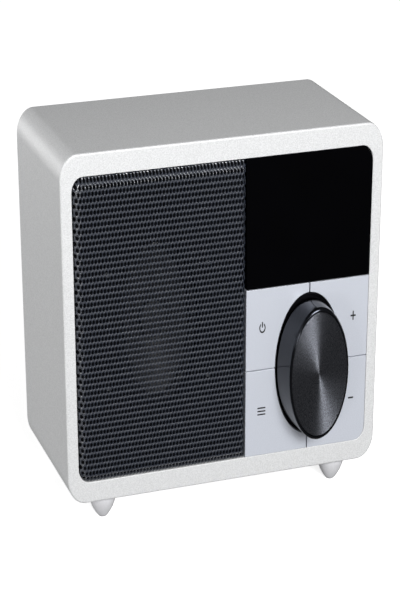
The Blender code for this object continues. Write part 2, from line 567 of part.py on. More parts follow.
def main():
    """Build every part of the radio."""
    clear_scene()
    build_cabinet()
    build_baffle()
    build_grille()
    build_driver()
    build_display()
    build_keys()
    build_knob()
    build_controls()
    build_main_board()
    build_feet()
    build_rear()
    build_antenna()


main()
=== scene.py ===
"""Look of the small table radio: finishes, fine shapes, studio and camera round its parts."""
import json
import logging
import math
from dataclasses import dataclass, field
from enum import Enum
from typing import Callable, Sequence

import bmesh
import bpy
from mathutils import Matrix, Vector


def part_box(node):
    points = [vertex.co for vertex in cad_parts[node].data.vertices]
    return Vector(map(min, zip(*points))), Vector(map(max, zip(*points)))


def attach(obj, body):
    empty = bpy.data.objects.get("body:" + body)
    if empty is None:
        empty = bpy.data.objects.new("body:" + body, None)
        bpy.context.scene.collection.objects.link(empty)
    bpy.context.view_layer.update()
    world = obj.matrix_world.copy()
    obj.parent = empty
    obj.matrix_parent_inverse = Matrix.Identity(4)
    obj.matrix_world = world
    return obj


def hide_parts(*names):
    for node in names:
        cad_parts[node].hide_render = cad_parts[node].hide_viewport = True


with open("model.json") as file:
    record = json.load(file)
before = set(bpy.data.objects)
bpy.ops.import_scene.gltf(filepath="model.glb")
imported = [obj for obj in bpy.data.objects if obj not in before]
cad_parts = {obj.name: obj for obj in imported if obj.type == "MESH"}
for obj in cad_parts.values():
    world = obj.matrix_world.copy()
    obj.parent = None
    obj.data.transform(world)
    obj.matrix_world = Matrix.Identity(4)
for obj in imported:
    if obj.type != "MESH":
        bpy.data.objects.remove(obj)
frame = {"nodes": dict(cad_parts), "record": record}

LOG = logging.getLogger("table_radio")
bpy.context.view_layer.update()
MM = 0.001
HALF_ROOT_3 = 0.8660254
CLEAR = 0.35
WELD = 0.00001
Point = tuple[float, float, float]


class Pick(Enum):
    """Kind of mesh element that a selection is made of."""

    VERTS = "VERT"
    EDGES = "EDGE"
    FACES = "FACE"


class Texture(Enum):
    """Surface character of a finish."""

    FLAKE = "fine metallic flake in paint"
    MOULDED = "spark-eroded moulded plastic"
    GLOSS = "polished with faint ripples"
    SPUN = "concentric turning lines"
    BRUSHED = "fine lines along one direction"
    FELT = "pressed paper fibre"
    WOUND = "fine wire turns"
    MASK = "circuit board lacquer"


@dataclass(frozen=True)
class Finish:
    """One material of the radio.

    Args:
        name: Name of the Blender material.
        colour: Linear base colour.
        roughness: Mean roughness.
        metallic: Metallic value.
        texture: Surface character.
        scale: Texture frequency per metre.
        bump: Bump strength.
        vary: How far the colour varies, as a fraction.
        coat: Clear coat weight.
        anisotropy: Anisotropic value for turned or brushed metal.
        centre: Centre of a turned pattern, in metres.
        squash: Width over height of a turned pattern.
        specular: Specular level of the plain reflection.
        ior: Index of refraction.
    """

    name: str
    colour: Point
    roughness: float
    metallic: float = 0.0
    texture: Texture = Texture.MOULDED
    scale: float = 2500.0
    bump: float = 0.1
    vary: float = 0.06
    coat: float = 0.0
    anisotropy: float = 0.0
    centre: Point = (0.0, 0.0, 0.0)
    squash: float = 1.0
    specular: float = 0.5
    ior: float = 1.5

    def material(self) -> bpy.types.Material:
        """Build the node material once and return it.

        Returns:
            The Blender material.
        """
        found = bpy.data.materials.get(self.name)
        if found is not None:
            return found
        mat = bpy.data.materials.new(self.name)
        mat.use_nodes = True
        tree = mat.node_tree
        shader = tree.nodes["Principled BSDF"]
        shader.inputs["Metallic"].default_value = self.metallic
        shader.inputs["Coat Weight"].default_value = self.coat
        shader.inputs["Coat Roughness"].default_value = 0.05
        shader.inputs["Anisotropic"].default_value = self.anisotropy
        shader.inputs["Specular IOR Level"].default_value = self.specular
        shader.inputs["IOR"].default_value = self.ior
        pattern = self._pattern(tree)
        self._colour(tree, shader, pattern)
        self._surface(tree, shader, pattern)
        if self.anisotropy > 0.0:
            shader.inputs["Anisotropic Rotation"].default_value = 0.25
            tangent = tree.nodes.new("ShaderNodeTangent")
            tangent.direction_type = "RADIAL"
            tangent.axis = "Y"
            tree.links.new(tangent.outputs["Tangent"], shader.inputs["Tangent"])
        return mat

    def _pattern(self, tree: bpy.types.NodeTree) -> bpy.types.NodeSocket:
        """Make the grey pattern that colour, roughness and bump share.

        Args:
            tree: Node tree of the material.

        Returns:
            The pattern's output socket.
        """
        coords = tree.nodes.new("ShaderNodeTexCoord")
        mapping = tree.nodes.new("ShaderNodeMapping")
        mapping.vector_type = "POINT"
        stretch = {Texture.BRUSHED: (0.04, 1.0, 1.0), Texture.WOUND: (0.02, 1.0, 0.02),
                   Texture.SPUN: (1.0 / self.squash, 0.0, 1.0)}.get(self.texture, (1.0, 1.0, 1.0))
        mapping.inputs["Scale"].default_value = stretch
        mapping.inputs["Location"].default_value = [-c * s for c, s in zip(self.centre, stretch)]
        tree.links.new(coords.outputs["Object"], mapping.inputs["Vector"])
        noise = tree.nodes.new("ShaderNodeTexNoise")
        noise.inputs["Scale"].default_value = self.scale
        noise.inputs["Detail"].default_value = 3.0 if self.texture is not Texture.GLOSS else 1.0
        noise.inputs["Roughness"].default_value = 0.6
        tree.links.new(mapping.outputs["Vector"], noise.inputs["Vector"])
        if self.texture is Texture.SPUN:
            wave = tree.nodes.new("ShaderNodeTexWave")
            wave.wave_type = "RINGS"
            wave.rings_direction = "SPHERICAL"
            wave.inputs["Scale"].default_value = self.scale
            wave.inputs["Distortion"].default_value = 0.6
            wave.inputs["Detail"].default_value = 2.0
            tree.links.new(mapping.outputs["Vector"], wave.inputs["Vector"])
            grain = tree.nodes.new("ShaderNodeMix")
            grain.inputs["Factor"].default_value = 0.65
            tree.links.new(wave.outputs["Fac"], grain.inputs["A"])
            tree.links.new(noise.outputs["Fac"], grain.inputs["B"])
            return grain.outputs["Result"]
        return noise.outputs["Fac"]

    def _colour(self, tree: bpy.types.NodeTree, shader: bpy.types.Node,
                pattern: bpy.types.NodeSocket) -> None:
        """Vary the base colour with the pattern.

        Args:
            tree: Node tree of the material.
            shader: The Principled shader.
            pattern: The shared grey pattern.
        """
        ramp = tree.nodes.new("ShaderNodeValToRGB")
        low, high = ramp.color_ramp.elements
        low.position, high.position = 0.36, 0.64
        low.color = (*[c * (1.0 - self.vary) for c in self.colour], 1.0)
        high.color = (*[min(1.0, c * (1.0 + self.vary)) for c in self.colour], 1.0)
        tree.links.new(pattern, ramp.inputs["Fac"])
        tree.links.new(ramp.outputs["Color"], shader.inputs["Base Color"])

    def _surface(self, tree: bpy.types.NodeTree, shader: bpy.types.Node,
                 pattern: bpy.types.NodeSocket) -> None:
        """Drive roughness and bump from the pattern.

        Args:
            tree: Node tree of the material.
            shader: The Principled shader.
            pattern: The shared grey pattern.
        """
        spread = tree.nodes.new("ShaderNodeMapRange")
        spread.inputs["To Min"].default_value = self.roughness * 0.85
        spread.inputs["To Max"].default_value = min(1.0, self.roughness * 1.15)
        tree.links.new(pattern, spread.inputs["Value"])
        tree.links.new(spread.outputs["Result"], shader.inputs["Roughness"])
        bump = tree.nodes.new("ShaderNodeBump")
        bump.inputs["Strength"].default_value = self.bump
        bump.inputs["Distance"].default_value = 0.0001
        tree.links.new(pattern, bump.inputs["Height"])
        tree.links.new(bump.outputs["Normal"], shader.inputs["Normal"])


@dataclass(frozen=True)
class Layout:
    """Main sizes that the sub-assemblies share, in millimetres, read from the frame."""

    left: float
    right: float
    front: float
    back: float
    bottom: float
    top: float
    rim_left: float = 3.9
    rim_right: float = 3.9
    rim_top: float = 8.0
    rim_bottom: float = 8.0
    divide: float = 7.3
    window: float = 81.9
    knob_x: float = 31.0
    knob_z: float = 51.1

    @classmethod
    def read(cls) -> "Layout":
        """Take the cabinet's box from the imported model.

        Returns:
            The layout.
        """
        low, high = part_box("cabinet_shell")
        return cls(low[0] / MM, high[0] / MM, low[1] / MM, high[1] / MM, low[2] / MM, high[2] / MM)

    @property
    def recess(self) -> tuple[float, float, float, float]:
        """Low x, high x, low z and high z of the front recess."""
        return (self.left + self.rim_left, self.right - self.rim_right,
                self.bottom + self.rim_bottom, self.top - self.rim_top)


class Bench:
    """Modelling moves that every sub-assembly uses. Sizes are in millimetres."""

    @staticmethod
    def clear() -> None:
        """Return to object mode with nothing selected."""
        active = bpy.context.view_layer.objects.active
        if active is not None and active.mode != "OBJECT":
            bpy.ops.object.mode_set(mode="OBJECT")
        bpy.ops.object.select_all(action="DESELECT")

    @staticmethod
    def hold(obj: bpy.types.Object) -> None:
        """Make an object the only selected and active one.

        Args:
            obj: Object to select.
        """
        Bench.clear()
        obj.select_set(True)
        bpy.context.view_layer.objects.active = obj

    @staticmethod
    def edit(obj: bpy.types.Object, kind: Pick, test: Callable[[object], bool]) -> None:
        """Enter edit mode with the elements that pass a test selected.

        Args:
            obj: Object to edit.
            kind: Kind of element.
            test: Called with each BMesh element.
        """
        Bench.hold(obj)
        bpy.ops.object.mode_set(mode="EDIT")
        bpy.ops.mesh.select_mode(type=kind.value)
        bpy.ops.mesh.select_all(action="DESELECT")
        mesh = bmesh.from_edit_mesh(obj.data)
        items = {Pick.VERTS: mesh.verts, Pick.EDGES: mesh.edges, Pick.FACES: mesh.faces}[kind]
        for item in items:
            if test(item):
                item.select_set(True)
        mesh.select_flush_mode()
        bmesh.update_edit_mesh(obj.data)

    @staticmethod
    def settle(obj: bpy.types.Object) -> bpy.types.Object:
        """Move an object's place, turn and scale into its mesh.

        Args:
            obj: Object to settle.

        Returns:
            The same object.
        """
        Bench.hold(obj)
        bpy.ops.object.transform_apply(location=True, rotation=True, scale=True)
        return obj

    @staticmethod
    def block(name: str, low: Point, high: Point, radii: Sequence[tuple[float, float]] = (),
              segments: int = 12) -> bpy.types.Object:
        """Add a block whose edges along Y may be rounded, each with its own two radii.

        Args:
            name: Object name.
            low: Lowest corner.
            high: Highest corner.
            radii: Width and height of the rounding at lower left, lower right, upper right and
                upper left. They share one ratio.
            segments: Steps in each rounding.

        Returns:
            The block, with its place in its mesh.
        """
        squeeze = radii[0][0] / radii[0][1] if radii else 1.0
        size = [(b - a) * MM for a, b in zip(low, high)]
        centre = [(a + b) / 2 * MM for a, b in zip(low, high)]
        Bench.clear()
        bpy.ops.mesh.primitive_cube_add(size=1.0, location=centre,
                                        scale=(size[0] / squeeze, size[1], size[2]))
        obj = bpy.context.object
        obj.name = name
        Bench.hold(obj)
        bpy.ops.object.transform_apply(location=False, rotation=False, scale=True)
        signs = ((-1, -1), (1, -1), (1, 1), (-1, 1))
        for (sx, sz), (_, rz) in zip(signs, radii):
            def corner(edge: bmesh.types.BMEdge, sx: int = sx, sz: int = sz) -> bool:
                """Whether an edge runs along Y at this corner."""
                a, b = (v.co for v in edge.verts)
                mid = (a + b) / 2
                along = abs(a.x - b.x) < 1e-7 and abs(a.z - b.z) < 1e-7
                return (along and abs(mid.x - sx * size[0] / squeeze / 2) < 1e-6
                        and abs(mid.z - sz * size[2] / 2) < 1e-6)
            if rz > 0.0:
                Bench.edit(obj, Pick.EDGES, corner)
                bpy.ops.mesh.bevel(offset=rz * MM, offset_type="OFFSET", segments=segments,
                                   profile=0.5, affect="EDGES")
        Bench.clear()
        obj.scale = (squeeze, 1.0, 1.0)
        return Bench.settle(obj)

    @staticmethod
    def turned(name: str, axis: str, centre: Point, stations: Sequence[tuple[float, float]],
               squash: float = 1.0, segments: int = 96, ring: bool = False) -> bpy.types.Object:
        """Draw a circle out along an axis through stations, like work on a lathe.

        Args:
            name: Object name.
            axis: "X", "Y" or "Z".
            centre: Point that the stations are measured from.
            stations: Distance along the axis and radius of each loop.
            squash: Width over height across the axis.
            segments: Points round the circle.
            ring: Join the last loop to the first instead of closing the ends.

        Returns:
            The turned piece, with its place in its mesh.
        """
        k = "XYZ".index(axis)
        turn = {"X": (0.0, math.pi / 2, 0.0), "Y": (math.pi / 2, 0.0, 0.0), "Z": (0.0, 0.0, 0.0)}
        place = [c * MM for c in centre]
        place[k] += stations[0][0] * MM
        Bench.clear()
        bpy.ops.mesh.primitive_circle_add(vertices=segments, radius=stations[0][1] * MM,
                                          fill_type="NOTHING", location=place, rotation=turn[axis])
        obj = bpy.context.object
        obj.name = name
        Bench.settle(obj)
        bpy.ops.object.mode_set(mode="EDIT")
        bpy.ops.mesh.select_mode(type="EDGE")
        bpy.ops.mesh.select_all(action="SELECT")
        for (a, ra), (b, rb) in zip(stations, stations[1:]):
            step = [0.0, 0.0, 0.0]
            step[k] = (b - a) * MM
            place[k] += step[k]
            bpy.ops.mesh.extrude_edges_move(TRANSFORM_OT_translate={"value": step})
            grow = [rb / ra] * 3
            grow[k] = 1.0
            if abs(rb / ra - 1.0) > 1e-6:
                bpy.ops.transform.resize(value=grow, center_override=place)
        if ring:
            Bench.edit(obj, Pick.EDGES, lambda edge: edge.is_boundary)
            bpy.ops.mesh.bridge_edge_loops()
        else:
            Bench.edit(obj, Pick.EDGES, lambda edge: edge.is_boundary)
            bpy.ops.mesh.edge_face_add()
            if any(edge.is_boundary for edge in bmesh.from_edit_mesh(obj.data).edges):
                bpy.ops.mesh.fill_holes(sides=0)
        bpy.ops.mesh.select_all(action="SELECT")
        bpy.ops.mesh.normals_make_consistent(inside=False)
        if squash != 1.0:
            bpy.ops.transform.resize(value=(squash, 1.0, 1.0), center_override=place)
        Bench.clear()
        return obj

    @staticmethod
    def carve(obj: bpy.types.Object, tool: bpy.types.Object) -> None:
        """Cut a tool out of an object and throw the tool away.

        Args:
            obj: Object to cut.
            tool: Object that is taken out of it.
        """
        Bench.hold(obj)
        mod = obj.modifiers.new("carve", "BOOLEAN")
        mod.operation = "DIFFERENCE"
        mod.solver = "EXACT"
        mod.object = tool
        bpy.ops.object.modifier_apply(modifier=mod.name)
        bpy.data.objects.remove(tool, do_unlink=True)

    @staticmethod
    def soften(obj: bpy.types.Object, width: float, segments: int = 3, angle: float = 35.0) -> None:
        """Round the sharp edges and shade the piece smooth.

        Args:
            obj: Object to finish.
            width: Width of the rounding; 0 only shades.
            segments: Steps in the rounding.
            angle: Least edge angle that counts as sharp, in degrees.
        """
        Bench.hold(obj)
        if width > 0.0:
            mod = obj.modifiers.new("edge", "BEVEL")
            mod.width = width * MM
            mod.segments = segments
            mod.limit_method = "ANGLE"
            mod.angle_limit = math.radians(angle)
            mod.use_clamp_overlap = True
            bpy.ops.object.modifier_apply(modifier=mod.name)
        bpy.ops.object.shade_smooth_by_angle(angle=math.radians(angle + 5.0))
        mod = obj.modifiers.new("normals", "WEIGHTED_NORMAL")
        mod.keep_sharp = True
        bpy.ops.object.modifier_apply(modifier=mod.name)

    @staticmethod
    def copy_of(node: str, name: str, width: float = 0.12, angle: float = 35.0) -> bpy.types.Object:
        """Copy a CAD node's mesh, merge it, soften its edges and let it stand for the node.

        Args:
            node: CAD node.
            name: Name of the copy.
            width: Width of the edge rounding.
            angle: Least edge angle that counts as sharp, in degrees.

        Returns:
            The copy.
        """
        source = frame["nodes"][node]
        mesh = source.data.copy()
        mesh.materials.clear()
        obj = bpy.data.objects.new(name, mesh)
        bpy.context.scene.collection.objects.link(obj)
        Bench.edit(obj, Pick.VERTS, lambda vert: True)
        bpy.ops.mesh.remove_doubles(threshold=0.000002)
        bpy.ops.mesh.dissolve_limited(angle_limit=math.radians(1.0))
        Bench.clear()
        Bench.soften(obj, width, 2, angle)
        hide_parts(node)
        return obj

    @staticmethod
    def dress(obj: bpy.types.Object, finish: Finish, body: str, slot: str) -> bpy.types.Object:
        """Give a finished piece its material and its body.

        Args:
            obj: The piece.
            finish: Its finish.
            body: Body that it moves with.
            slot: Its slot in the record; not used.

        Returns:
            The same piece.
        """
        obj.data.materials.clear()
        obj.data.materials.append(finish.material())
        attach(obj, body)
        LOG.info("%s: %d faces on %s", obj.name, len(obj.data.polygons), body)
        return obj


KNOB_AXIS: Point = (0.031, 0.0, 0.0511)
KNOB_SQUASH = 11.1 / 25.2

SILVER = Finish("satin_silver_paint", (0.61, 0.615, 0.62), 0.45, 0.15, Texture.FLAKE, 2600.0, 0.14,
                0.12)
KEY_SILVER = Finish("satin_silver_keys", (0.54, 0.565, 0.625), 0.38, 0.25, Texture.FLAKE, 3400.0,
                    0.08, 0.07)
GRILLE_BLACK = Finish("black_coated_steel", (0.013, 0.017, 0.028), 0.27, 0.0, Texture.MOULDED,
                      4000.0, 0.03, 0.15, ior=2.0)
# Black of the baffle and speaker basket, made darker than their plastic as painted shade inside the
# grille.
BAFFLE_BLACK_WITH_PAINTED_SHADE = Finish("matt_black_baffle_and_painted_shade", (0.004, 0.004, 0.005), 0.80, 0.0, Texture.MOULDED, 1800.0,
                    0.20, 0.20, specular=0.1)
BLACK = Finish("black_moulded_plastic", (0.022, 0.022, 0.024), 0.52, 0.0, Texture.MOULDED, 2200.0,
               0.25, 0.15)
WINDOW_BLACK = Finish("black_display_acrylic", (0.0005, 0.0005, 0.0008), 0.06, 0.0, Texture.GLOSS,
                      60.0, 0.01, 0.1, specular=0.06)
WELL_BLACK = Finish("black_gloss_well", (0.004, 0.004, 0.005), 0.10, 0.0, Texture.GLOSS, 80.0,
                    0.02, 0.1, specular=0.35)
SKIRT = Finish("dark_polished_skirt", (0.028, 0.030, 0.036), 0.15, 1.0, Texture.SPUN, 1500.0, 0.05,
               0.06, 0.0, 0.0, KNOB_AXIS, KNOB_SQUASH)
FACE = Finish("dark_spun_knob_face", (0.115, 0.12, 0.137), 0.46, 1.0, Texture.SPUN, 1400.0, 0.60,
              0.95, 0.0, 0.96, KNOB_AXIS, KNOB_SQUASH)
CHROME = Finish("polished_chrome", (0.80, 0.80, 0.81), 0.08, 1.0, Texture.BRUSHED, 1800.0, 0.03,
                0.03)
STEEL = Finish("zinc_plated_steel", (0.52, 0.53, 0.55), 0.32, 1.0, Texture.BRUSHED, 2500.0, 0.08,
               0.08)
PAPER = Finish("black_cone_paper", (0.020, 0.020, 0.022), 0.55, 0.0, Texture.FELT, 1500.0, 0.5,
               0.25)
RUBBER = Finish("black_rubber_roll", (0.008, 0.008, 0.009), 0.30, 0.0, Texture.MOULDED, 1800.0,
                0.08, 0.12)
FOOT = Finish("white_satin_foot", (0.58, 0.58, 0.60), 0.35, 0.0, Texture.MOULDED, 2400.0, 0.06,
              0.04)
BOARD = Finish("green_board_lacquer", (0.015, 0.12, 0.05), 0.35, 0.0, Texture.MASK, 700.0, 0.3,
               0.35, 0.2)
FERRITE = Finish("dark_ferrite", (0.06, 0.06, 0.065), 0.6, 0.2, Texture.MOULDED, 1500.0, 0.3, 0.15)
COPPER = Finish("enamelled_copper", (0.55, 0.22, 0.10), 0.3, 1.0, Texture.WOUND, 4000.0, 0.4, 0.2)
LCD = Finish("dark_display_glass", (0.02, 0.025, 0.03), 0.12, 0.0, Texture.GLOSS, 90.0, 0.02, 0.1)
PRINT = Finish("black_key_print", (0.012, 0.012, 0.013), 0.45, 0.0, Texture.MOULDED, 6000.0, 0.05,
               0.1)

SLOT_FINISHES: dict[str, Finish] = {
    "silver_paint": SILVER, "key_silver": KEY_SILVER, "grille_steel": GRILLE_BLACK,
    "black_plastic": BLACK, "gloss_black": WELL_BLACK, "chrome": CHROME, "spun_metal": FACE,
    "steel": STEEL, "paper": PAPER, "rubber": RUBBER, "foot_white": FOOT, "board": BOARD,
    "ferrite": FERRITE, "copper": COPPER, "lcd": LCD,
}


@dataclass
class Cabinet:
    """Painted sleeve with a thick front rim.

    Args:
        layout: Shared sizes.
        corner: Width and height of the outer corner rounding.
        recess: Width and height of the recess corner rounding.
        wall: Wall thickness.
        rim_depth: Depth of the front rim.
        edge: Rounding of the outer edges.
        lip: Rounding of the recess's edges.
    """

    layout: Layout
    corner: tuple[float, float] = (6.2, 9.5)
    recess: tuple[float, float] = (3.8, 5.6)
    wall: float = 2.2
    rim_depth: float = 3.0
    edge: float = 0.7
    lip: float = 0.25

    def build(self) -> bpy.types.Object:
        """Shape the sleeve.

        Returns:
            The cabinet piece.
        """
        at = self.layout
        body = Bench.block("cabinet_sleeve", (at.left, at.front, at.bottom),
                           (at.right, at.back, at.top), [self.corner] * 4, 16)
        Bench.soften(body, self.edge, 4)
        x0, x1, z0, z1 = at.recess
        Bench.carve(body, Bench.block("recess_tool", (x0, at.front - 5, z0), (x1, at.front + 8, z1),
                                      [self.recess] * 4, 10))
        inner = (self.corner[0] - self.wall, self.corner[1] - self.wall)
        Bench.carve(body, Bench.block(
            "cavity_tool", (at.left + self.wall, at.front + self.rim_depth, at.bottom + self.wall),
            (at.right - self.wall, at.back + 5, at.top - self.wall), [inner] * 4, 12))
        Bench.soften(body, self.lip, 3)
        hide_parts("cabinet_shell")
        return body

    def dress(self, body: bpy.types.Object) -> None:
        """Paint the sleeve silver."""
        Bench.dress(body, SILVER, "radio", "silver_paint")


@dataclass
class Grille:
    """Perforated steel pan on the left of the front.

    Args:
        layout: Shared sizes.
        row: Distance between rows of holes.
        pitch: Distance between holes in a row.
        proud: How far the flat stands in front of the rim.
        fold: Width of the sloping edge.
        sheet: Sheet thickness.
        corner: Width and height of the rounding of the two outer corners.
        bend: Width of the corner that the fold follows, on the stretched sheet.
        near: How close to the outline a vertex counts as on it.
    """

    layout: Layout
    row: float = 2.17
    pitch: float = 1.195
    proud: float = 2.0
    fold: float = 3.0
    sheet: float = 0.6
    corner: tuple[float, float] = (3.9, 5.6)
    bend: float = 7.9
    near: float = 0.06

    def build(self) -> bpy.types.Object:
        """Punch one pair of cells, repeat it, trim it and fold its edges back.

        Returns:
            The grille piece.
        """
        at = self.layout
        x0, x1 = at.recess[0] + CLEAR, at.divide - 0.2
        z0, z1 = at.recess[2] + CLEAR, at.recess[3] - CLEAR
        front = at.front - self.proud
        step = self.row / HALF_ROOT_3
        regular = step / self.pitch
        cell = self._cell()
        half_x = (x1 - x0) / 2 * regular
        across = int(2 * half_x / step) + 4
        up = int((z1 - z0) / (2 * self.row)) + 3
        self._repeat(cell, (step * MM, 0.0, 0.0), across)
        self._repeat(cell, (0.0, 0.0, 2 * self.row * MM), up)
        Bench.hold(cell)
        cell.location = (-across / 2 * self.row / HALF_ROOT_3 * MM, 0.0, (z0 - 2.5) * MM)
        Bench.settle(cell)
        Bench.edit(cell, Pick.FACES, lambda face: True)
        bpy.ops.mesh.remove_doubles(threshold=WELD)
        self._trim(cell, half_x, z0, z1, regular)
        self._fold(cell, half_x, z0, z1)
        cell.scale = (1.0 / regular, 1.0, 1.0)
        cell.location = ((x0 + x1) / 2 * MM, front * MM, 0.0)
        Bench.settle(cell)
        cell.name = "grille_sheet"
        Bench.hold(cell)
        bpy.ops.object.shade_smooth_by_angle(angle=math.radians(50))
        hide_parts("speaker_grille")
        return cell

    def _cell(self) -> bpy.types.Object:
        """Make two six-sided cells, each with a punched hole, as one piece of sheet.

        Returns:
            The pair, flat in Y = 0, on a regular grid.
        """
        size = self.row / 1.5 * MM
        Bench.clear()
        bpy.ops.mesh.primitive_circle_add(vertices=6, radius=size, fill_type="NGON",
                                          rotation=(math.pi / 2, 0.0, 0.0))
        cell = bpy.context.object
        Bench.settle(cell)
        Bench.edit(cell, Pick.EDGES,
                   lambda edge: abs(edge.verts[0].co.x - edge.verts[1].co.x) < 1e-7)
        bpy.ops.mesh.subdivide(number_cuts=1)
        Bench.edit(cell, Pick.FACES, lambda face: True)
        bpy.ops.mesh.inset(thickness=size * 0.05, depth=0.0)
        bpy.ops.transform.tosphere(value=0.3)
        bpy.ops.mesh.inset(thickness=size * 0.24, depth=-size * 0.15)
        bpy.ops.transform.tosphere(value=1.0)
        bpy.ops.mesh.extrude_region_move(
            TRANSFORM_OT_translate={"value": (0.0, self.sheet * MM, 0.0)})
        bpy.ops.mesh.delete(type="FACE")
        Bench.edit(cell, Pick.EDGES, lambda edge: edge.is_boundary and max(
            v.co.y for v in edge.verts) < 1e-5)
        bpy.ops.mesh.extrude_edges_move(
            TRANSFORM_OT_translate={"value": (0.0, self.sheet * 1.2 * MM, 0.0)})
        Bench.edit(cell, Pick.EDGES, lambda edge: edge.is_boundary)
        bpy.ops.mesh.bridge_edge_loops()
        Bench.edit(cell, Pick.FACES, lambda face: abs(face.normal.y) < 0.01 and max(
            Vector((v.co.x, v.co.z)).length for v in face.verts) > size * 0.85)
        bpy.ops.mesh.delete(type="FACE")
        Bench.clear()
        second = cell.copy()
        second.data = cell.data.copy()
        bpy.context.scene.collection.objects.link(second)
        second.location = (self.row / HALF_ROOT_3 / 2 * MM, 0.0, self.row * MM)
        Bench.settle(second)
        Bench.hold(cell)
        second.select_set(True)
        bpy.ops.object.join()
        return cell

    @staticmethod
    def _repeat(obj: bpy.types.Object, step: Point, count: int) -> None:
        """Repeat a piece along one direction and weld the copies.

        Args:
            obj: Piece to repeat.
            step: Offset of each copy, in metres.
            count: How many there are in all.
        """
        Bench.hold(obj)
        mod = obj.modifiers.new("repeat", "ARRAY")
        mod.count = count
        mod.use_relative_offset = False
        mod.use_constant_offset = True
        mod.constant_offset_displace = step
        mod.use_merge_vertices = True
        mod.merge_threshold = WELD
        bpy.ops.object.modifier_apply(modifier=mod.name)

    def _trim(self, obj: bpy.types.Object, half_x: float, z0: float, z1: float,
              regular: float) -> None:
        """Cut the sheet to its outline, with the two outer corners rounded.

        Args:
            obj: The sheet.
            half_x: Half its width, stretched.
            z0: Its lower edge.
            z1: Its upper edge.
            regular: How far it is stretched along X.
        """
        cuts: list[tuple[Point, Point]] = [
            ((half_x, 0, 0), (1, 0, 0)), ((-half_x, 0, 0), (-1, 0, 0)),
            ((0, 0, z0), (0, 0, -1)), ((0, 0, z1), (0, 0, 1))]
        rx, rz = self.corner[0] * regular, self.corner[1]
        for side in (-1, 1):
            zc = z1 - rz if side > 0 else z0 + rz
            for degrees in (15, 35, 55, 75):
                a = math.radians(degrees)
                point = (-half_x + rx - rx * math.cos(a), 0, zc + side * rz * math.sin(a))
                normal = (-math.cos(a) / rx, 0, side * math.sin(a) / rz)
                cuts.append((point, normal))
        for point, normal in cuts:
            Bench.edit(obj, Pick.FACES, lambda face: True)
            bpy.ops.mesh.bisect(plane_co=[v * MM for v in point],
                                plane_no=Vector(normal).normalized(), use_fill=True,
                                clear_outer=True, clear_inner=False)
        Bench.clear()

    def _fold(self, obj: bpy.types.Object, half_x: float, z0: float, z1: float) -> None:
        """Push the rim of the sheet back, so that a sloping band runs round the flat.

        Args:
            obj: The sheet.
            half_x: Half its width, stretched.
            z0: Its lower edge.
            z1: Its upper edge.
        """
        rx, rz = self.bend, self.corner[1]

        def rim(vert: bmesh.types.BMVert) -> bool:
            """Whether a vertex is on the trimmed outline."""
            x, z = vert.co.x / MM, vert.co.z / MM
            if min(half_x - abs(x), z - z0, z1 - z) < self.near:
                return True
            dx, dz = -half_x + rx - x, max(z - (z1 - rz), (z0 + rz) - z)
            return dx > 0 and dz > 0 and (dx / rx) ** 2 + (dz / rz) ** 2 > 0.965

        Bench.edit(obj, Pick.VERTS, rim)
        bpy.ops.transform.translate(value=(0.0, (self.proud + 0.1) * MM, 0.0),
                                    use_proportional_edit=True, proportional_edit_falloff="LINEAR",
                                    proportional_size=self.fold * MM)
        Bench.clear()

    def dress(self, sheet: bpy.types.Object) -> None:
        """Coat the grille black."""
        Bench.dress(sheet, GRILLE_BLACK, "radio", "grille_steel")


@dataclass
class Display:
    """Dark window in the upper right, with a sloping top edge.

    Args:
        layout: Shared sizes.
        proud: How far the face stands in front of the rim.
        slope: Height of the sloping top edge.
    """

    layout: Layout
    proud: float = 1.0
    slope: float = 1.5

    def build(self) -> bpy.types.Object:
        """Shape the window.

        Returns:
            The window piece.
        """
        at = self.layout
        x0, x1 = at.divide + 0.18, at.recess[1] - CLEAR
        z0, z1 = at.window + 0.2, at.recess[3] - CLEAR
        small = (0.35, 0.5)
        glass = Bench.block("display_glass", (x0, at.front - self.proud, z0),
                            (x1, at.front + 2.7, z1), [small, small, (3.85, 5.5), small], 10)
        front = (at.front - self.proud) * MM
        Bench.edit(glass, Pick.VERTS, lambda v: v.co.y < front + 1e-6
                   and v.co.z > (z1 - self.slope) * MM)
        bpy.ops.transform.translate(value=(0.0, 1.2 * MM, 0.0))
        Bench.clear()
        Bench.soften(glass, 0.6, 4, 25.0)
        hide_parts("display_window")
        return glass

    def dress(self, glass: bpy.types.Object) -> None:
        """Polish the window."""
        Bench.dress(glass, WINDOW_BLACK, "radio", "gloss_black")


